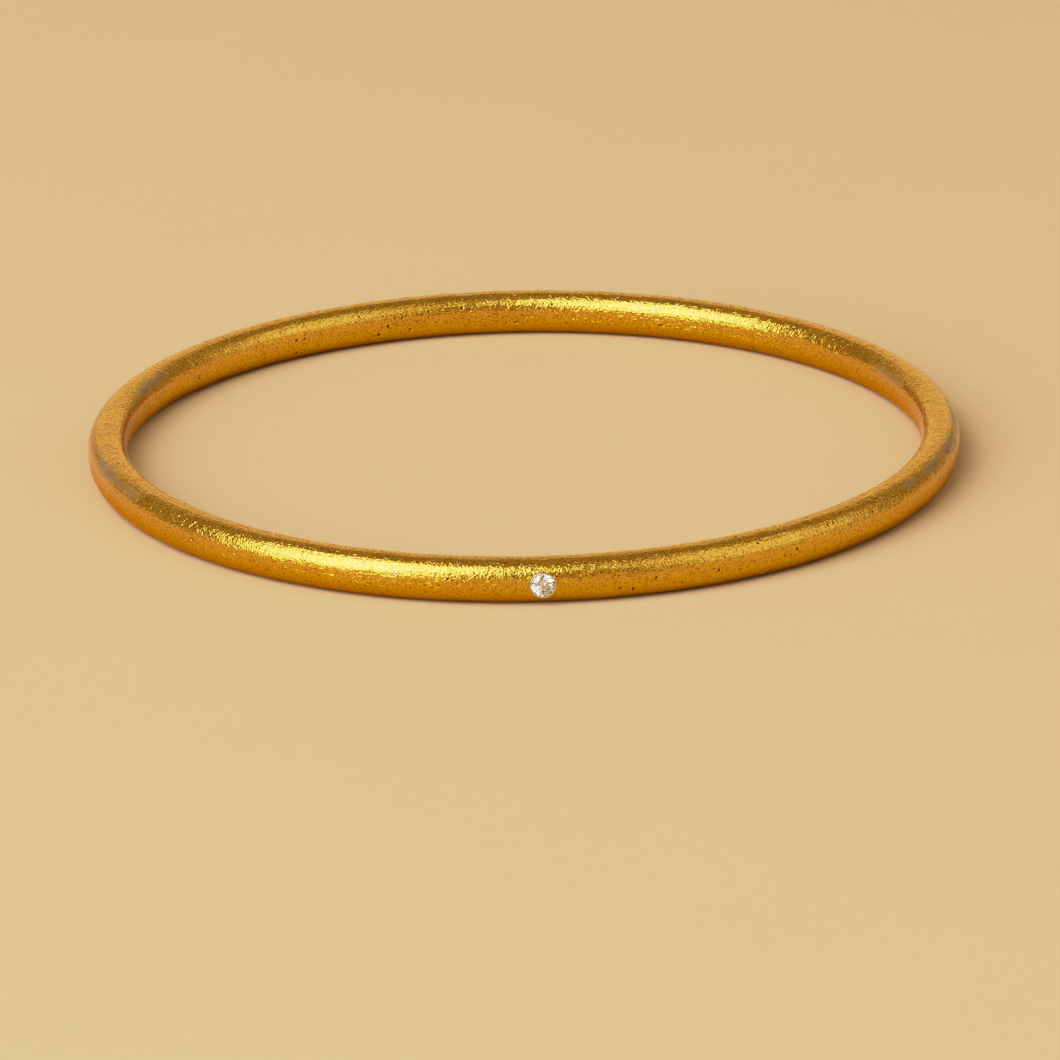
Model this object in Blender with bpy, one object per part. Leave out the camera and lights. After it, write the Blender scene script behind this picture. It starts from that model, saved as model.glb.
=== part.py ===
"""Bangle bracelet: a closed gold ring with one small brilliant set in its outer side.

Metres, +Z up. The ring lies flat: the origin is on the table, under the ring's centre,
and the stone looks along -Y. Run with: blender --background --python part.py
"""

import math

import bmesh
import bpy
from mathutils import Matrix, Vector

# Ring: an upright oval wire, a little tighter on its inner side
INNER_DIAMETER = 0.0620
WIRE_THICKNESS = 0.00295
WIRE_HEIGHT = 0.00335
INNER_CORNER = 0.00125
OUTER_CORNER = 0.00135
RING_SEGMENTS = 120
INNER_CORNER_STEPS = 5
OUTER_CORNER_STEPS = 5
MOST_CORNER = 0.48  # a corner takes at most this share of the wire's height or thickness

# Stone: a round brilliant, its facets given as a cutter gives them
STONE_DIAMETER = 0.00175
TABLE_RATIO = 0.56  # table width over girdle width
CROWN_ANGLE = math.radians(34.5)
STAR_LENGTH = 0.5  # star facet's share of the way from table to girdle
PAVILION_ANGLE = math.radians(40.75)
LOWER_FACET_LENGTH = 0.77  # lower girdle facet's share of the way to the culet
GIRDLE_HEIGHT = 0.00006
MAIN_FACETS = 8

# Collet: the thin tube that holds the stone
COLLET_WALL = 0.000095
COLLET_LENGTH = 0.00105
COLLET_STANDS_OUT = 0.00002  # how far its rim passes the ring's outer side
LIP_OVER_STONE = 0.00005  # how far the rim is turned in over the girdle
LIP_HEIGHT = 0.00008
COLLET_SEGMENTS = 48

# Clearances
STONE_CLEARANCE = 0.00002
SEAT_CLEARANCE = 0.00002
SEAT_FLOOR_CLEARANCE = 0.00010
DRILL_POINT_ANGLE = math.radians(118)

# Sizes that follow from those above
INNER_RADIUS = INNER_DIAMETER / 2
OUTER_RADIUS = INNER_RADIUS + WIRE_THICKNESS
MID_HEIGHT = WIRE_HEIGHT / 2
STONE_RADIUS = STONE_DIAMETER / 2
COLLET_BORE_RADIUS = STONE_RADIUS + STONE_CLEARANCE
COLLET_RADIUS = COLLET_BORE_RADIUS + COLLET_WALL
SEAT_RADIUS = COLLET_RADIUS + SEAT_CLEARANCE
RIM_DISTANCE = OUTER_RADIUS + COLLET_STANDS_OUT
GIRDLE_DISTANCE = RIM_DISTANCE - LIP_HEIGHT - STONE_CLEARANCE

STONE_POSE = Matrix.Translation((0, 0, MID_HEIGHT)) @ Matrix.Rotation(math.pi / 2, 4, "X")


def clear_scene():
    for old in list(bpy.data.objects):
        bpy.data.objects.remove(old, do_unlink=True)


def make_material(name, colour, roughness, metallic):
    material = bpy.data.materials.new(name)
    material.use_nodes = True
    shader = material.node_tree.nodes["Principled BSDF"]
    shader.inputs["Base Color"].default_value = (*colour, 1)
    shader.inputs["Roughness"].default_value = roughness
    shader.inputs["Metallic"].default_value = metallic
    material.diffuse_color = (*colour, 1)
    return material


def add_object(name, bm, material):
    """Turn a bmesh into a named object of the scene."""
    bmesh.ops.recalc_face_normals(bm, faces=bm.faces)
    mesh = bpy.data.meshes.new(name)
    bm.to_mesh(mesh)
    bm.free()
    mesh.materials.append(material)
    piece = bpy.data.objects.new(name, mesh)
    bpy.context.scene.collection.objects.link(piece)
    return piece


def turn_profile(profile, segments):
    """Turn a closed outline of (radius, height) points about the Z axis."""
    bm = bmesh.new()
    points = [bm.verts.new((radius, 0, height)) for radius, height in profile]
    edges = [bm.edges.new((a, b)) for a, b in zip(points, points[1:] + points[:1])]
    bmesh.ops.spin(
        bm,
        geom=points + edges,
        cent=(0, 0, 0),
        axis=(0, 0, 1),
        angle=math.tau,
        steps=segments,
        use_merge=True,
    )
    return bm


def wire_section():
    """The wire's outline as (radius, height) points: a rectangle with four round corners."""
    most = MOST_CORNER * min(WIRE_HEIGHT, WIRE_THICKNESS)
    outer_corner = min(OUTER_CORNER, most)
    inner_corner = min(INNER_CORNER, most)
    outer = OUTER_RADIUS - outer_corner
    inner = INNER_RADIUS + inner_corner
    corners = [
        (outer, WIRE_HEIGHT - outer_corner, outer_corner, OUTER_CORNER_STEPS),
        (inner, WIRE_HEIGHT - inner_corner, inner_corner, INNER_CORNER_STEPS),
        (inner, inner_corner, inner_corner, INNER_CORNER_STEPS),
        (outer, outer_corner, outer_corner, OUTER_CORNER_STEPS),
    ]
    outline = []
    for quarter, (across, up, radius, steps) in enumerate(corners):
        for step in range(steps + 1):
            angle = (quarter + step / steps) * math.pi / 2
            outline.append((across + radius * math.cos(angle), up + radius * math.sin(angle)))
    return outline


def make_seat_cutter(material):
    """The drilled seat, pointing along +Z from the ring's centre until it is posed."""
    floor = RIM_DISTANCE - COLLET_LENGTH - SEAT_FLOOR_CLEARANCE
    tip = floor - SEAT_RADIUS / math.tan(DRILL_POINT_ANGLE / 2)
    mouth = OUTER_RADIUS + WIRE_THICKNESS
    bm = bmesh.new()
    rings = []
    for distance in (floor, mouth):
        circle = bmesh.ops.create_circle(
            bm,
            segments=COLLET_SEGMENTS,
            radius=SEAT_RADIUS,
            matrix=Matrix.Translation((0, 0, distance)),
        )
        rings.append(circle["verts"])
    bmesh.ops.bridge_loops(bm, edges=bm.edges)
    bmesh.ops.contextual_create(bm, geom=rings[1])
    point = bm.verts.new((0, 0, tip))
    for corner, following in zip(rings[0], rings[0][1:] + rings[0][:1]):
        bm.faces.new((corner, following, point))
    cutter = add_object("seat_cutter", bm, material)
    cutter.matrix_world = STONE_POSE
    cutter.hide_render = True
    cutter.display_type = "WIRE"
    return cutter


def make_ring(material):
    """The closed ring of wire, drilled for the collet."""
    ring = add_object("bangle_ring", turn_profile(wire_section(), RING_SEGMENTS), material)
    drill = ring.modifiers.new("seat", "BOOLEAN")
    drill.operation = "DIFFERENCE"
    drill.solver = "EXACT"
    drill.object = make_seat_cutter(material)
    ring.data.shade_smooth()
    ring.data.set_sharp_from_angle(angle=math.radians(30))


def make_collet(material):
    """A turned tube: straight outside, with a bearing for the stone and a lip over it."""
    lip_radius = COLLET_BORE_RADIUS - LIP_OVER_STONE
    below_girdle = GIRDLE_DISTANCE - GIRDLE_HEIGHT - STONE_CLEARANCE
    bearing_drop = COLLET_WALL * math.tan(PAVILION_ANGLE)
    foot = RIM_DISTANCE - COLLET_LENGTH
    profile = [
        (COLLET_RADIUS, foot),
        (COLLET_RADIUS, RIM_DISTANCE),
        (lip_radius, RIM_DISTANCE),
        (COLLET_BORE_RADIUS, RIM_DISTANCE - LIP_HEIGHT),
        (COLLET_BORE_RADIUS, below_girdle),
        (COLLET_BORE_RADIUS - COLLET_WALL, below_girdle - bearing_drop),
        (COLLET_BORE_RADIUS - COLLET_WALL, foot),
    ]
    collet = add_object("stone_collet", turn_profile(profile, COLLET_SEGMENTS), material)
    collet.matrix_world = STONE_POSE
    collet.data.shade_smooth()
    collet.data.set_sharp_from_angle(angle=math.radians(30))


def cut_facet(bm, azimuth, rise, radius, height):
    """Grind one flat through the point at this radius and height on its azimuth."""
    outward = Vector((math.cos(azimuth), math.sin(azimuth), 0))
    normal = outward * math.sin(rise) + Vector((0, 0, math.cos(rise)))
    cut = bmesh.ops.bisect_plane(
        bm,
        geom=bm.verts[:] + bm.edges[:] + bm.faces[:],
        plane_co=outward * radius + Vector((0, 0, height)),
        plane_no=normal,
        clear_outer=True,
    )
    edges = [item for item in cut["geom_cut"] if isinstance(item, bmesh.types.BMEdge)]
    bmesh.ops.contextual_create(bm, geom=edges)


def cut_half(bm, side, height, main_angle, tip_radius):
    """Cut the main and girdle facets above (side 1) or below (side -1) the girdle."""
    step = math.tau / MAIN_FACETS
    half = step / 2
    quarter = step / 4
    slope = math.tan(main_angle)
    tip_height = (STONE_RADIUS - tip_radius * math.cos(half)) * slope
    chord = STONE_RADIUS * math.cos(quarter)
    girdle_angle = math.atan2(tip_height, chord - tip_radius * math.cos(quarter))
    turn_over = 0 if side > 0 else math.pi
    for facet in range(MAIN_FACETS):
        azimuth = facet * step
        cut_facet(bm, azimuth, abs(turn_over - main_angle), STONE_RADIUS, height)
        for offset in (-quarter, quarter):
            cut_facet(bm, azimuth + offset, abs(turn_over - girdle_angle), chord, height)
    return tip_height


def make_stone(material):
    """A round blank ground to a brilliant: crown, table and stars, then pavilion."""
    table_radius = STONE_RADIUS * TABLE_RATIO
    half = math.pi / MAIN_FACETS
    table_side = table_radius * math.cos(half)
    crown_height = (STONE_RADIUS - table_radius) * math.tan(CROWN_ANGLE)
    star_tip = table_side + STAR_LENGTH * (STONE_RADIUS - table_side)
    lower_tip = STONE_RADIUS * (1 - LOWER_FACET_LENGTH)

    bm = bmesh.new()
    bmesh.ops.create_cone(
        bm,
        cap_ends=True,
        segments=MAIN_FACETS * 8,
        radius1=STONE_RADIUS,
        radius2=STONE_RADIUS,
        depth=STONE_DIAMETER * 2,
    )
    tip_height = cut_half(bm, 1, 0, CROWN_ANGLE, star_tip)
    cut_facet(bm, 0, 0, 0, crown_height)
    star_angle = math.atan2(crown_height - tip_height, star_tip - table_side)
    for star in range(MAIN_FACETS):
        cut_facet(bm, (2 * star + 1) * half, star_angle, table_side, crown_height)
    cut_half(bm, -1, -GIRDLE_HEIGHT, PAVILION_ANGLE, lower_tip)
    bmesh.ops.remove_doubles(bm, verts=bm.verts, dist=STONE_DIAMETER / 1000)

    stone = add_object("brilliant_stone", bm, material)
    stone.matrix_world = STONE_POSE @ Matrix.Translation((0, 0, GIRDLE_DISTANCE))


def build():
    clear_scene()
    gold = make_material("gold", (0.72, 0.42, 0.07), 0.35, 1.0)
    white_metal = make_material("white_metal", (0.78, 0.76, 0.72), 0.25, 1.0)
    clear_stone = make_material("clear_stone", (0.93, 0.93, 0.95), 0.05, 0.0)
    make_ring(gold)
    make_collet(white_metal)
    make_stone(clear_stone)


build()
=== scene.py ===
import math
import random

import bmesh
import bpy
from mathutils import Matrix, Vector, kdtree, noise


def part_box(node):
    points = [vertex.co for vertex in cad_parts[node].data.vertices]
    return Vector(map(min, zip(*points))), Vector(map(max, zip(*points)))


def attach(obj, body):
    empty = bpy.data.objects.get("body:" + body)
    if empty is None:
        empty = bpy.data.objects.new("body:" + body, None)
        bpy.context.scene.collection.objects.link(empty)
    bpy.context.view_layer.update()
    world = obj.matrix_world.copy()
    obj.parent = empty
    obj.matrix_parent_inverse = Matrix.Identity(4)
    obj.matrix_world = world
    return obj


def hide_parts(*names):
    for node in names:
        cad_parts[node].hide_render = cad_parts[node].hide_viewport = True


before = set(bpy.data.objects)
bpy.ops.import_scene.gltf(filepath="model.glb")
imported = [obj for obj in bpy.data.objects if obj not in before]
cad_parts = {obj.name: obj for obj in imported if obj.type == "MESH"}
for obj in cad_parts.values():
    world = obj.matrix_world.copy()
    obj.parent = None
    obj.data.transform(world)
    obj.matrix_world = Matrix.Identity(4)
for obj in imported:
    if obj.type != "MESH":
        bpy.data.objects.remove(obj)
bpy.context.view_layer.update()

mm = 0.001

# the ring's measures, read from the fixed frame
ringLow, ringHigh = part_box("bangle_ring")
outerRadius = ringHigh.x
innerRadius = min(vert.co.xy.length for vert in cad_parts["bangle_ring"].data.vertices)
wireHeight = ringHigh.z - ringLow.z
wireThickness = outerRadius - innerRadius
ringRadius = (outerRadius + innerRadius) / 2
colletLow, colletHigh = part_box("stone_collet")
colletRadius = (colletHigh.x - colletLow.x) / 2
colletLength = colletHigh.y - colletLow.y


# small helpers

def nearWire(along, up, reach=1.6 * mm):
    # a place close to the wire's skin; along: degrees round the ring from the stone,
    # up: degrees up the wire's section from its outer side
    turn, rise = math.radians(along - 90), math.radians(up)
    radius = ringRadius + reach * math.cos(rise)
    height = wireHeight / 2 + reach * math.sin(rise)
    return Vector((radius * math.cos(turn), radius * math.sin(turn), height))


def addNode(tree, kind, values=None, **settings):
    node = tree.nodes.new(kind)
    for key, value in settings.items():
        setattr(node, key, value)
    for key, value in (values or {}).items():
        if isinstance(value, bpy.types.NodeSocket):
            tree.links.new(value, node.inputs[key])
        else:
            node.inputs[key].default_value = value
    return node


def mathNode(tree, operation, first, second=0.5):
    return addNode(tree, "ShaderNodeMath", {0: first, 1: second}, operation=operation).outputs[0]


def mixColour(tree, amount, first, second):
    return addNode(tree, "ShaderNodeMix", {0: amount, 6: first, 7: second}, data_type="RGBA").outputs[2]


def spread(tree, value, low, high, toLow=0.0, toHigh=1.0):
    values = {"Value": value, "From Min": low, "From Max": high, "To Min": toLow, "To Max": toHigh}
    return addNode(tree, "ShaderNodeMapRange", values, clamp=True).outputs[0]


def newGroup(name, inputs, outputs):
    # inputs: name to default value; outputs: name to socket kind
    group = bpy.data.node_groups.new(name, "ShaderNodeTree")
    for label, value in inputs.items():
        kind = "NodeSocketVector" if label == "Vector" else "NodeSocketFloat"
        socket = group.interface.new_socket(name=label, in_out="INPUT", socket_type=kind)
        if kind == "NodeSocketFloat":
            socket.default_value = value
    for label, kind in outputs.items():
        group.interface.new_socket(name=label, in_out="OUTPUT", socket_type=kind)
    source = group.nodes.new("NodeGroupInput").outputs
    sink = group.nodes.new("NodeGroupOutput").inputs
    return group, source, sink


def noiseNode(tree, place, size, detail, roughness, **more):
    values = {"Vector": place, "Scale": 1 / size, "Detail": detail, "Roughness": roughness, **more}
    return addNode(tree, "ShaderNodeTexNoise", values).outputs[0]


def bumpNode(tree, height, depth, under=None):
    # relief of this depth; under: the normal of the relief below it
    values = {"Height": height, "Distance": depth, "Strength": 1.0}
    if under is not None:
        values["Normal"] = under
    return addNode(tree, "ShaderNodeBump", values).outputs[0]


def useGroup(tree, group, values):
    return addNode(tree, "ShaderNodeGroup", values, node_tree=group).outputs


def newMaterial(name):
    material = bpy.data.materials.new(name)
    material.use_nodes = True
    tree = material.node_tree
    return material, tree, tree.nodes["Principled BSDF"]


# the ring

ringShape = {
    "ringSteps": 1080,
    "innerCorner": 1.25 * mm,
    "outerCorner": 1.35 * mm,
    "sideStep": 0.17 * mm,
    "slowSwell": 0.030 * mm,  # the wire's unevenness over a few millimetres
    "slowSize": 3.2 * mm,
    "crinkle": 0.0168 * mm,  # the small flats of its skin
    "crinkleSize": 0.75 * mm,
    "crinkleStart": (7, 3, 5),
    "fineCrinkle": 0.008 * mm,
    "fineSize": 0.38 * mm,
    "fineStart": (1, 9, 4),
    "pitCount": 240,
    "pitWidths": (0.05 * mm, 0.13 * mm),
    "pitDepth": 0.9,  # depth over half width
    "pitLip": 0.10,  # height of the lip thrown up round a pit, over half width
    "lipAt": 1.2,  # where the lip is, and how wide, over half width
    "lipWidth": 0.28,
    "pitReach": 1.9,  # how far out a pit changes the skin, over half width
    "pitShade": 1.8,  # how soon a pit turns dark
    "pitMargin": 0.12 * mm,  # how far past a pit the mesh is finer
    "pitCuts": 2,
    "creaseDepth": 0.020 * mm,
    "creaseWidth": 0.13 * mm,
    "creaseReach": 0.30 * mm,
    "creaseSteps": 6,  # places for each degree
    "seed": 11,
}

# pits that stand out: degrees round the ring from the stone, degrees up the wire, half width
largePits = [
    (-1.3, 46, 0.12 * mm),
    (1.7, 77, 0.07 * mm),
    (9.7, -21, 0.10 * mm),
    (11.4, -27, 0.12 * mm),
    (14.4, -1, 0.13 * mm),
    (23, -6, 0.12 * mm),
    (29, 49, 0.10 * mm),
    (40.4, 45, 0.14 * mm),
    (41.4, 49, 0.11 * mm),
    (49, 36, 0.10 * mm),
    (54, 52, 0.12 * mm),
    (44, -23, 0.11 * mm),
    (-12, 16, 0.12 * mm),
    (-50, 6, 0.14 * mm),
    (-48, -17, 0.10 * mm),
    (-50, 52, 0.12 * mm),
    (-53, -12, 0.09 * mm),
    (-59, 78, 0.11 * mm),
    (-152, 108, 0.11 * mm),
    (-157, 139, 0.12 * mm),
    (-161.6, 181, 0.15 * mm),
    (-160, 204, 0.15 * mm),
    (-146, 172, 0.14 * mm),
    (-147.5, 174, 0.11 * mm),
    (-146, 213, 0.13 * mm),
    (-165, 200, 0.13 * mm),
    (-168, 150, 0.11 * mm),
    (-173, 147, 0.15 * mm),
    (-171, 132, 0.10 * mm),
]

# places of grey-mauve patches on the gold: along, up, half length, half width, strength
greyPatchPlaces = [
    (88, 44, 5.0 * mm, 1.0 * mm, 0.95),
    (77, 51, 4.4 * mm, 0.85 * mm, 0.95),
    (68, 54, 3.8 * mm, 0.6 * mm, 0.85),
    (59, 58, 1.6 * mm, 0.40 * mm, 0.9),
    (109, 145, 5.0 * mm, 0.65 * mm, 0.75),
    (-82, 64, 3.4 * mm, 0.6 * mm, 0.5),
    (-75, 51, 4.4 * mm, 0.85 * mm, 0.9),
    (-67, 49, 3.4 * mm, 0.7 * mm, 0.8),
    (-112, 126, 5.0 * mm, 0.7 * mm, 0.85),
]

# long shallow creases: places along and up that each runs through
creases = [
    [(20, 6), (27, 12), (34, 19), (41, 24), (47, 26)],
    [(38, 8), (44, 13), (50, 16)],
    [(-24, 20), (-16, 23), (-9, 21)],
]


def scatterPits(shape):
    draw = random.Random(shape["seed"])
    pits = list(largePits)
    for pit in range(shape["pitCount"]):
        along = draw.uniform(4, 356)
        up = draw.uniform(-120, 260)
        low, high = shape["pitWidths"]
        pits.append((along, up, low + (high - low) * draw.random() ** 2))
    return pits


def makeSection(shape):
    # a rectangle whose corners are rounded, in the XZ plane
    section = bmesh.new()
    place = Matrix.Translation((ringRadius, 0, wireHeight / 2)) @ Matrix.Rotation(math.pi / 2, 4, "X")
    bmesh.ops.create_grid(section, x_segments=1, y_segments=1, size=0.5, matrix=place)
    bmesh.ops.scale(
        section, verts=section.verts, vec=(wireThickness, 1, wireHeight),
        space=Matrix.Translation((-ringRadius, 0, -wireHeight / 2)),
    )
    for radius, outside in ((shape["innerCorner"], False), (shape["outerCorner"], True)):
        corners = [vert for vert in section.verts if (vert.co.x > ringRadius) == outside]
        bmesh.ops.bevel(
            section, geom=corners, offset=radius, offset_type="OFFSET", affect="VERTICES",
            segments=round(radius * math.pi / 2 / shape["sideStep"]), profile=0.5, material=-1,
        )
    bmesh.ops.delete(section, geom=section.faces[:], context="FACES_ONLY")
    for edge in section.edges[:]:
        cuts = round(edge.calc_length() / shape["sideStep"]) - 1
        if cuts > 0:
            bmesh.ops.subdivide_edges(section, edges=[edge], cuts=cuts)
    return section


def skinTree(points):
    tree = kdtree.KDTree(len(points))
    for index, point in enumerate(points):
        tree.insert(point, index)
    tree.balance()
    return tree


def refineNear(wire, places, cuts):
    # a finer mesh round each (place, reach)
    wire.faces.ensure_lookup_table()
    tree = skinTree([face.calc_center_median() for face in wire.faces])
    near = set()
    for along, up, reach in places:
        middle = tree.find(nearWire(along, up))[0]
        for _, index, _ in tree.find_range(middle, reach):
            near.update(wire.faces[index].edges)
    bmesh.ops.subdivide_edges(wire, edges=list(near), cuts=cuts, use_grid_fill=True)
    wire.verts.ensure_lookup_table()
    return skinTree([vert.co for vert in wire.verts])


def alongCrease(crease, stepsEach):
    # many places on the smooth line through a crease's own places
    for (fromAlong, fromUp), (toAlong, toUp) in zip(crease, crease[1:]):
        steps = int(abs(toAlong - fromAlong) * stepsEach)
        for step in range(steps):
            share = step / steps
            yield fromAlong + (toAlong - fromAlong) * share, fromUp + (toUp - fromUp) * share


def makeRing(shape):
    wire = makeSection(shape)
    bmesh.ops.spin(
        wire, geom=wire.verts[:] + wire.edges[:], cent=(0, 0, 0), axis=(0, 0, 1),
        angle=math.tau, steps=shape["ringSteps"], use_merge=True,
    )
    bmesh.ops.recalc_face_normals(wire, faces=wire.faces)
    print("wire turned:", len(wire.faces), "faces")

    pits = scatterPits(shape)
    places = [(along, up, width + shape["pitMargin"]) for along, up, width in pits]
    tree = refineNear(wire, places, shape["pitCuts"])

    # the uneven skin
    wire.normal_update()
    lifts = []
    for vert in wire.verts:
        lift = shape["slowSwell"] * noise.noise(vert.co / shape["slowSize"])
        wave = noise.noise(vert.co / shape["crinkleSize"] + Vector(shape["crinkleStart"]))
        lift -= shape["crinkle"] * abs(wave)
        lift += shape["fineCrinkle"] * noise.noise(vert.co / shape["fineSize"] + Vector(shape["fineStart"]))
        lifts.append(vert.normal * lift)
    normals = [vert.normal.copy() for vert in wire.verts]

    # pits, creases and grey-mauve patches
    pitMask = wire.verts.layers.float.new("pit")
    greyPatchMask = wire.verts.layers.float.new("greyPatch")
    wire.verts.ensure_lookup_table()
    for along, up, width in pits:
        middle = tree.find(nearWire(along, up))[0]
        for _, index, distance in tree.find_range(middle, shape["pitReach"] * width):
            vert = wire.verts[index]
            bowl = max(0, 1 - (distance / width) ** 2)
            lip = math.exp(-((distance / width - shape["lipAt"]) / shape["lipWidth"]) ** 2)
            lifts[index] -= normals[index] * width * (shape["pitDepth"] * bowl - shape["pitLip"] * lip)
            # painted shade: a pit's bowl is marked to be coloured dark
            vert[pitMask] = max(vert[pitMask], min(1, bowl * shape["pitShade"]))
    for crease in creases:
        deepest = {}
        for along, up in alongCrease(crease, shape["creaseSteps"]):
            middle = tree.find(nearWire(along, up))[0]
            for _, index, distance in tree.find_range(middle, shape["creaseReach"]):
                depth = math.exp(-(distance / shape["creaseWidth"]) ** 2)
                deepest[index] = max(deepest.get(index, 0), depth)
        for index, depth in deepest.items():
            lifts[index] -= normals[index] * shape["creaseDepth"] * depth
    for along, up, halfLength, halfWidth, strength in greyPatchPlaces:
        middle = tree.find(nearWire(along, up))[0]
        heading = Vector((-middle.y, middle.x, 0)).normalized()
        for place, index, distance in tree.find_range(middle, halfLength):
            ahead = (place - middle).dot(heading)
            aside = math.sqrt(max(0, distance ** 2 - ahead ** 2))
            weight = strength * (1 - (ahead / halfLength) ** 2 - (aside / halfWidth) ** 2)
            vert = wire.verts[index]
            vert[greyPatchMask] = max(vert[greyPatchMask], weight)
    for vert, lift in zip(wire.verts, lifts):
        vert.co += lift
    return wire


def finishMesh(name, bm, sharpAngle=40):
    mesh = bpy.data.meshes.new(name)
    bm.to_mesh(mesh)
    bm.free()
    mesh.shade_smooth()
    mesh.set_sharp_from_angle(angle=math.radians(sharpAngle))
    piece = bpy.data.objects.new(name, mesh)
    bpy.context.scene.collection.objects.link(piece)
    return piece


seatShape = {
    "segments": 96,
    "play": 0.012 * mm,  # between the collet and the seat's wall
    "floor": 0.1 * mm,  # left free under the collet
    "mouth": 2 * mm,  # how far the drill starts outside the ring
}


def drillSeat(ring):
    # the hole that the collet sits in
    depth = colletLength + seatShape["floor"]
    radius = colletRadius + seatShape["play"]
    middle = Matrix.Translation((0, colletLow.y + (depth - seatShape["mouth"]) / 2, wireHeight / 2))
    drill = bmesh.new()
    bmesh.ops.create_cone(
        drill, cap_ends=True, segments=seatShape["segments"], radius1=radius, radius2=radius,
        depth=depth + seatShape["mouth"], matrix=middle @ Matrix.Rotation(math.pi / 2, 4, "X"),
    )
    cutter = finishMesh("seatDrill", drill)
    cut = ring.modifiers.new("seat", "BOOLEAN")
    cut.operation = "DIFFERENCE"
    cut.solver = "EXACT"
    cut.object = cutter
    bpy.context.view_layer.update()
    drilled = bpy.data.meshes.new_from_object(ring.evaluated_get(bpy.context.evaluated_depsgraph_get()))
    ring.modifiers.clear()
    ring.data = drilled
    bpy.data.objects.remove(cutter)
    drilled.shade_smooth()
    drilled.set_sharp_from_angle(angle=math.radians(40))


# gold

goldLook = {
    "deep": (0.80, 0.44, 0.010, 1),
    "pale": (0.85, 0.51, 0.035, 1),
    # painted shade for the grain's low places
    "paintedGrainShade": (0.42, 0.17, 0.002, 1),
    # near black: painted shade in the pits' bowls and in the pinholes
    "pit": (0.035, 0.014, 0.003, 1),
    "speck": (0.50, 0.48, 0.40, 1),
    # grey-mauve colour of the patches at the listed places, where the gold is also duller and less metallic
    "greyPatch": (0.22, 0.135, 0.125, 1),
    "roughness": (0.15, 0.23),
    "grainSize": 0.15 * mm,
    "grainHeight": 0.026 * mm,
    "patchSize": 2.5 * mm,
    "creaseSize": 0.40 * mm,
    "creaseHeight": 0.016 * mm,
    "lineLength": 3.0 * mm,
    "lineWidth": 0.22 * mm,
    "lineHeight": 0.040 * mm,
    "coatRoughness": 0.13,
    "edge": (1.0, 0.70, 0.30, 1),
    "coatFrom": 0.35,  # the coat's sheen fades out below, and the colour turns to the painted shade of the underside, between these shares of the wire's height
    "coatTo": 0.75,
    "specks": {"size": 1.9 * mm, "share": 0.60, "radius": 0.15 * mm, "shift": 0.013},
    "pinholes": {"size": 0.8 * mm, "share": 0.65, "radius": 0.062 * mm, "shift": 0.029},
    "raggedSize": 0.7 * mm,
    # painted shade: the gold's lower side is darker and deeper, darkest at the foot where it meets the table
    "paintedUnderShade": (0.64, 0.385, 0.001, 1),
    "foot": (0.36, 0.16, 0.0005, 1),
}


def makeRaggedGroup():
    # ragged patches: a soft weight broken up by fine noise
    inputs = {"Vector": None, "Weight": 0.0, "Size": 0.4 * mm}
    group, source, sink = newGroup("raggedPatches", inputs, {"PatchMask": "NodeSocketFloat"})
    ragged = addNode(group, "ShaderNodeTexNoise", {
        "Vector": source["Vector"], "Scale": mathNode(group, "DIVIDE", 1.0, source["Size"]),
        "Detail": 6.0, "Roughness": 0.75,
    }).outputs[0]
    total = mathNode(group, "ADD", source["Weight"], mathNode(group, "MULTIPLY", ragged, 2.2))
    group.links.new(spread(group, total, 1.35, 1.95, 0.0, 0.85), sink["PatchMask"])
    return group


def spotMask(tree, place, size, share, radius, shift):
    # round spots in a share of the cells of a jittered grid
    moved = addNode(tree, "ShaderNodeVectorMath", {0: place, 1: (shift, shift, shift)}, operation="ADD").outputs[0]
    cells = addNode(tree, "ShaderNodeTexVoronoi", {"Vector": moved, "Scale": 1 / size}).outputs
    pick = addNode(tree, "ShaderNodeSeparateColor", {"Color": cells["Color"]}).outputs
    chosen = mathNode(tree, "LESS_THAN", pick[0], share)
    wide = mathNode(tree, "MULTIPLY", spread(tree, pick[1], 0, 1, 0.5, 1.3), radius / size)
    inside = mathNode(tree, "SUBTRACT", wide, cells["Distance"])
    return mathNode(tree, "MULTIPLY", spread(tree, inside, 0, 0.25 * radius / size), chosen)


def roundRing(tree, place, length, width):
    # noise drawn out round the ring, without a seam
    parts = addNode(tree, "ShaderNodeSeparateXYZ", {"Vector": place}).outputs
    flat = addNode(tree, "ShaderNodeCombineXYZ", {0: parts[0], 1: parts[1]}).outputs[0]
    reach = addNode(tree, "ShaderNodeVectorMath", {0: flat}, operation="LENGTH").outputs["Value"]
    heading = addNode(tree, "ShaderNodeVectorMath", {0: flat}, operation="NORMALIZE").outputs[0]
    stretch = {0: heading, "Scale": ringRadius / length}
    heading = addNode(tree, "ShaderNodeVectorMath", stretch, operation="SCALE").outputs[0]
    rise = addNode(tree, "ShaderNodeCombineXYZ", {2: mathNode(tree, "DIVIDE", parts[2], width)}).outputs[0]
    point = addNode(tree, "ShaderNodeVectorMath", {0: heading, 1: rise}, operation="ADD").outputs[0]
    depth = mathNode(tree, "DIVIDE", reach, width)
    values = {"Vector": point, "W": depth, "Scale": 1.0, "Detail": 1.5, "Roughness": 0.5}
    return addNode(tree, "ShaderNodeTexNoise", values, noise_dimensions="4D").outputs[0]


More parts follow.
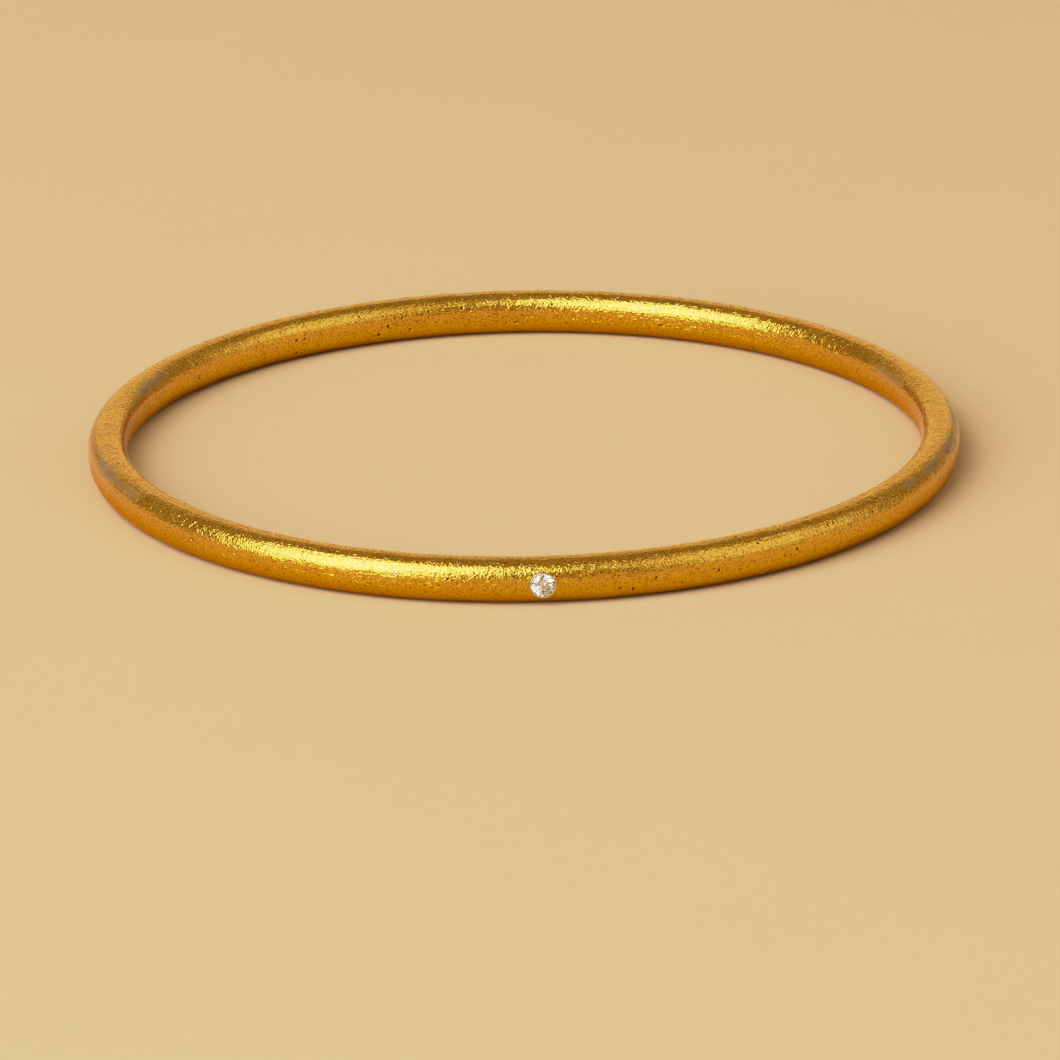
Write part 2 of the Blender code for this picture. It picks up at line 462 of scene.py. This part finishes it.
def makeGold(look, raggedGroup):
    material, tree, shader = newMaterial("crinkledGold")
    place = addNode(tree, "ShaderNodeTexCoord").outputs["Object"]
    patches = noiseNode(tree, place, look["patchSize"], 5.0, 0.6)
    grain = noiseNode(tree, place, look["grainSize"], 1.0, 0.4)
    wide = noiseNode(tree, place, look["creaseSize"], 1.5, 0.45, Distortion=0.8)
    crinkle = spread(tree, mathNode(tree, "ABSOLUTE", mathNode(tree, "SUBTRACT", wide, 0.5)), 0, 0.2)
    lines = roundRing(tree, place, look["lineLength"], look["lineWidth"])

    height = addNode(tree, "ShaderNodeSeparateXYZ", {"Vector": place}).outputs["Z"]
    fadeFrom, fadeTo = look["coatFrom"] * wireHeight, look["coatTo"] * wireHeight
    coatAndUnshadedTop = spread(tree, height, fadeFrom, fadeTo)
    colour = mixColour(tree, spread(tree, patches, 0.35, 0.65), look["deep"], look["pale"])
    # painted shade: the colour darkens towards the bottom of the wire, down to the foot
    below = mixColour(tree, spread(tree, height, 0, fadeFrom), look["foot"], look["paintedUnderShade"])
    colour = mixColour(tree, coatAndUnshadedTop, below, colour)
    # painted shade: the grain's low places turn darker
    paintedGrainShade = spread(tree, grain, 0.50, 0.30, 0.0, 1.0)
    colour = mixColour(tree, paintedGrainShade, colour, look["paintedGrainShade"])
    speck = spotMask(tree, place, **look["specks"])
    patchy = mathNode(tree, "MULTIPLY", speck, spread(tree, grain, 0.35, 0.6, 0.2, 1.0))
    colour = mixColour(tree, patchy, colour, look["speck"])
    greyPatch = addNode(tree, "ShaderNodeAttribute", attribute_name="greyPatch").outputs["Fac"]
    raggedPatch = useGroup(tree, raggedGroup, {"Vector": place, "Weight": greyPatch, "Size": look["raggedSize"]})[0]
    colour = mixColour(tree, raggedPatch, colour, look["greyPatch"])
    # pinholes are tiny pits drawn only as dark spots: painted shade, like the dark in the pits' bowls
    pinholes = spotMask(tree, place, **look["pinholes"])
    pit = addNode(tree, "ShaderNodeAttribute", attribute_name="pit").outputs["Fac"]
    hole = mathNode(tree, "MAXIMUM", pit, pinholes)
    colour = mixColour(tree, hole, colour, look["pit"])
    tree.links.new(colour, shader.inputs["Base Color"])

    dull = mathNode(tree, "MAXIMUM", mathNode(tree, "MAXIMUM", raggedPatch, speck), hole)
    rough = spread(tree, patches, 0.3, 0.7, *look["roughness"])
    rough = mathNode(tree, "ADD", rough, mathNode(tree, "MULTIPLY", dull, 0.2))
    tree.links.new(rough, shader.inputs["Roughness"])
    tree.links.new(spread(tree, dull, 0, 1, 1.0, 0.45), shader.inputs["Metallic"])
    coat = mathNode(tree, "MULTIPLY", coatAndUnshadedTop, spread(tree, hole, 0, 1, 1.0, 0.1))
    tree.links.new(coat, shader.inputs["Coat Weight"])
    shader.inputs["Coat Roughness"].default_value = look["coatRoughness"]
    shader.inputs["Specular Tint"].default_value = look["edge"]

    relief = bumpNode(tree, crinkle, look["creaseHeight"])
    relief = bumpNode(tree, lines, look["lineHeight"], relief)
    relief = bumpNode(tree, grain, look["grainHeight"], relief)
    tree.links.new(relief, shader.inputs["Normal"])
    tree.links.new(relief, shader.inputs["Coat Normal"])
    return material


# the setting and the stone

rimShape = {
    "segments": 144,
    "stoneGap": 0.02 * mm,
    "lip": 0.042 * mm,  # how far the burnished edge reaches over the stone
    "lipHeight": 0.075 * mm,
    "edgeRound": 0.022 * mm,
    "edgeLength": 0.06 * mm,  # longer edges on the rim's top run across it and stay sharp
    "uneven": 0.016 * mm,
    "wobbleSize": 0.16 * mm,
    "wobbleStart": (4, 4, 4),
    "innerBand": 0.03 * mm,  # what lies this close to the bore moves in and out with it
    "worked": 0.12 * mm,  # how far down from its edge the rim is worked
    "bearingTop": 0.20 * mm,  # from the edge down to the stone's bearing, and to its foot
    "bearingFoot": 0.28 * mm,
    "bearingWidth": 0.09 * mm,
    "burrWidth": 0.09 * mm,
    "burrs": (  # degrees, size
        (100, 0.030 * mm), (128, 0.036 * mm), (74, 0.022 * mm), (262, 0.020 * mm), (215, 0.018 * mm),
    ),
}


def makeRim(shape):
    # a thin turned tube whose edge is pressed unevenly over the stone
    stoneLow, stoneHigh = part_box("brilliant_stone")
    bore = (stoneHigh.x - stoneLow.x) / 2 + shape["stoneGap"]
    throat = bore - shape["bearingWidth"]
    profile = [
        (colletRadius, 0), (colletRadius, colletLength), (bore - shape["lip"], colletLength),
        (bore, colletLength - shape["lipHeight"]), (bore, colletLength - shape["bearingTop"]),
        (throat, colletLength - shape["bearingFoot"]), (throat, 0),
    ]
    rim = bmesh.new()
    points = [rim.verts.new((radius, 0, height)) for radius, height in profile]
    edges = [rim.edges.new(pair) for pair in zip(points, points[1:] + points[:1])]
    bmesh.ops.spin(
        rim, geom=points + edges, cent=(0, 0, 0), axis=(0, 0, 1),
        angle=math.tau, steps=shape["segments"], use_merge=True,
    )
    bmesh.ops.recalc_face_normals(rim, faces=rim.faces)
    top = [edge for edge in rim.edges if min(vert.co.z for vert in edge.verts) > colletLength - 0.01 * mm]
    crown = [edge for edge in top if edge.calc_length() < shape["edgeLength"]]
    bmesh.ops.bevel(
        rim, geom=crown, offset=shape["edgeRound"], offset_type="OFFSET", affect="EDGES",
        segments=3, profile=0.5, material=-1,
    )
    for vert in rim.verts:
        if vert.co.z > colletLength - shape["worked"]:
            spoke = Vector((vert.co.x, vert.co.y, 0)).normalized()
            inner = spoke.dot(vert.co) < bore + shape["innerBand"]
            wobble = noise.noise(vert.co / shape["wobbleSize"])
            vert.co.z += min(0, wobble - 0.1) * shape["uneven"]
            if inner:
                wobble = noise.noise(vert.co / shape["wobbleSize"] + Vector(shape["wobbleStart"]))
                vert.co += spoke * shape["uneven"] * wobble
            for degrees, size in shape["burrs"]:
                heading = Vector((math.cos(math.radians(degrees)), math.sin(math.radians(degrees)), 0))
                near = math.exp(-(((spoke - heading).length * bore) / shape["burrWidth"]) ** 2)
                vert.co += (Vector((0, 0, 0.3)) - spoke * (1 if inner else -0.2)) * size * near
    pose = Matrix.Translation((0, colletHigh.y, wireHeight / 2)) @ Matrix.Rotation(math.pi / 2, 4, "X")
    bmesh.ops.transform(rim, matrix=pose, verts=rim.verts)
    return rim


stoneLook = {"ior": 2.42, "colour": (1, 1, 1, 1)}
rimLook = {
    "colour": (0.74, 0.72, 0.70, 1),
    "dull": (0.50, 0.46, 0.42, 1),
    "roughness": (0.22, 0.5),
    "grimeSize": 0.12 * mm,
    "grimeHeight": 0.02 * mm,
    "raggedSize": 0.1 * mm,
}


def makeStoneMaterial(look):
    material, _, shader = newMaterial("clearBrilliant")
    shader.inputs["Base Color"].default_value = look["colour"]
    shader.inputs["Roughness"].default_value = 0.0
    shader.inputs["IOR"].default_value = look["ior"]
    shader.inputs["Transmission Weight"].default_value = 1.0
    return material


def makeRimMaterial(look, raggedGroup):
    material, tree, shader = newMaterial("paleMetal")
    place = addNode(tree, "ShaderNodeTexCoord").outputs["Object"]
    grime = noiseNode(tree, place, look["grimeSize"], 4.0, 0.6)
    raggedPatch = useGroup(tree, raggedGroup, {"Vector": place, "Weight": 0.35, "Size": look["raggedSize"]})[0]
    colour = mixColour(tree, spread(tree, grime, 0.35, 0.6), look["dull"], look["colour"])
    tree.links.new(colour, shader.inputs["Base Color"])
    rough = mathNode(tree, "ADD", grime, mathNode(tree, "MULTIPLY", raggedPatch, 0.3))
    tree.links.new(spread(tree, rough, 0.3, 0.9, *look["roughness"]), shader.inputs["Roughness"])
    shader.inputs["Metallic"].default_value = 1.0
    tree.links.new(bumpNode(tree, grime, look["grimeHeight"]), shader.inputs["Normal"])
    return material


def giveMaterial(piece, material):
    piece.data.materials.clear()
    piece.data.materials.append(material)


# floor, lights and camera

floorLook = {
    "colour": (0.675, 0.475, 0.275, 1),
    "fibre": (0.665, 0.467, 0.268, 1),
    "halfWidth": 1.6,
    "segments": 24,
    "fibreSize": 1 / 900,
    "cloudSize": 1 / 60,
    "fibreHeight": 0.012 * mm,
    "drop": 0.03 * mm,  # the ring's crinkles rest on the paper and don't pass through it
}


def makeFloor(look):
    sheet = bmesh.new()
    bmesh.ops.create_grid(
        sheet, x_segments=look["segments"], y_segments=look["segments"], size=look["halfWidth"],
        matrix=Matrix.Translation((0, 0, -look["drop"])),
    )
    floor = finishMesh("paperFloor", sheet)
    material, tree, shader = newMaterial("tanPaper")
    place = addNode(tree, "ShaderNodeTexCoord").outputs["Object"]
    fibres = noiseNode(tree, place, look["fibreSize"], 3.0, 0.6)
    cloud = noiseNode(tree, place, look["cloudSize"], 3.0, 0.5)
    mottle = mathNode(tree, "ADD", mathNode(tree, "MULTIPLY", fibres, 0.6), mathNode(tree, "MULTIPLY", cloud, 0.4))
    colour = mixColour(tree, spread(tree, mottle, 0.40, 0.62), look["colour"], look["fibre"])
    tree.links.new(colour, shader.inputs["Base Color"])
    shader.inputs["Roughness"].default_value = 0.9
    shader.inputs["Specular IOR Level"].default_value = 0.2
    tree.links.new(bumpNode(tree, fibres, look["fibreHeight"]), shader.inputs["Normal"])
    giveMaterial(floor, material)


# each light: degrees round from the stone's side, degrees up, distance, width and height,
# brightness, colour
lightLook = {
    "keySoftbox": (-49, 36, 1.30, (1.26, 1.60), 4.80, (1.0, 0.99, 0.99)),
    "fillSoftbox": (67, 36, 1.30, (1.36, 1.40), 0.76, (1.0, 0.97, 0.92)),
    "rearCard": (180, 13, 1.10, (0.92, 0.42), 0.76, (1.0, 0.73, 0.30)),
}
worldLook = {"colour": (1.0, 0.73, 0.30, 1), "strength": 0.33}


def makeLights(lights, room):
    for name, (aside, up, distance, size, brightness, colour) in lights.items():
        light = bpy.data.lights.new(name, "AREA")
        light.shape = "RECTANGLE"
        light.size, light.size_y = size
        light.energy = brightness * math.pi * size[0] * size[1]
        light.color = colour
        lamp = bpy.data.objects.new(name, light)
        turn, rise = math.radians(aside), math.radians(up)
        direction = Vector((math.sin(turn) * math.cos(rise), -math.cos(turn) * math.cos(rise), math.sin(rise)))
        lamp.location = direction * distance
        lamp.rotation_mode = "QUATERNION"
        lamp.rotation_quaternion = direction.to_track_quat("Z", "Y")
        lamp.visible_camera = False
        bpy.context.scene.collection.objects.link(lamp)
    world = bpy.data.worlds.new("studio")
    world.use_nodes = True
    shader = world.node_tree.nodes["Background"]
    shader.inputs["Color"].default_value = room["colour"]
    shader.inputs["Strength"].default_value = room["strength"]
    bpy.context.scene.world = world


# brightness before and after the curve
filmLook = (
    (0, 0), (0.30, 0.30), (0.50, 0.50), (0.62, 0.605), (0.72, 0.675), (0.82, 0.722), (0.90, 0.742), (1, 0.754),
)


def softenHighlights(points):
    # a tone curve: bright parts roll off towards white and don't clip
    view = bpy.context.scene.view_settings
    view.view_transform = "Standard"
    view.look = "None"
    view.use_curve_mapping = True
    mapping = view.curve_mapping
    mapping.extend = "EXTRAPOLATED"
    curve = mapping.curves[3]
    curve.points[0].location = points[0]
    curve.points[-1].location = points[-1]
    for x, y in points[1:-1]:
        curve.points.new(x, y)
    for point in curve.points:
        point.handle_type = "VECTOR"
    mapping.update()


cameraLook = {
    "azimuth": -2.09,  # degrees, as seen from above, from the stone
    "elevation": 18.75,
    "distance": 646.0 * mm,  # from the ring's middle
    "aim": (0.34 * mm, -2.36 * mm, -5.05 * mm),  # from the table under the ring's middle, before the azimuth
    "lens": 281.2,
    "roll": -0.933,
}


def makeCamera(look):
    camera = bpy.data.objects.new("camera", bpy.data.cameras.new("camera"))
    bpy.context.scene.collection.objects.link(camera)
    rise = math.radians(look["elevation"])
    back = Vector((0, -math.cos(rise), math.sin(rise))) * look["distance"]
    turn = Matrix.Rotation(math.radians(look["azimuth"]), 3, "Z")
    place = turn @ (back + Vector((0, 0, wireHeight / 2)))
    facing = (turn @ Vector(look["aim"]) - place).to_track_quat("-Z", "Y").to_matrix().to_4x4()
    camera.matrix_world = Matrix.Translation(place) @ facing @ Matrix.Rotation(math.radians(look["roll"]), 4, "Z")
    camera.data.lens = look["lens"]
    camera.data.sensor_width = 36
    camera.data.clip_start = 0.01
    camera.data.clip_end = 10
    bpy.context.scene.camera = camera


ring = finishMesh("bangleRing", makeRing(ringShape))
drillSeat(ring)
raggedGroup = makeRaggedGroup()
giveMaterial(ring, makeGold(goldLook, raggedGroup))
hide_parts("bangle_ring")
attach(ring, "root")
print("ring:", len(ring.data.polygons), "faces")

giveMaterial(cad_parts["brilliant_stone"], makeStoneMaterial(stoneLook))
rim = finishMesh("colletRim", makeRim(rimShape), 35)
giveMaterial(rim, makeRimMaterial(rimLook, raggedGroup))
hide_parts("stone_collet")
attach(rim, "root")
print("stone and rim set")
makeFloor(floorLook)
makeLights(lightLook, worldLook)
makeCamera(cameraLook)
softenHighlights(filmLook)
print("stage ready")
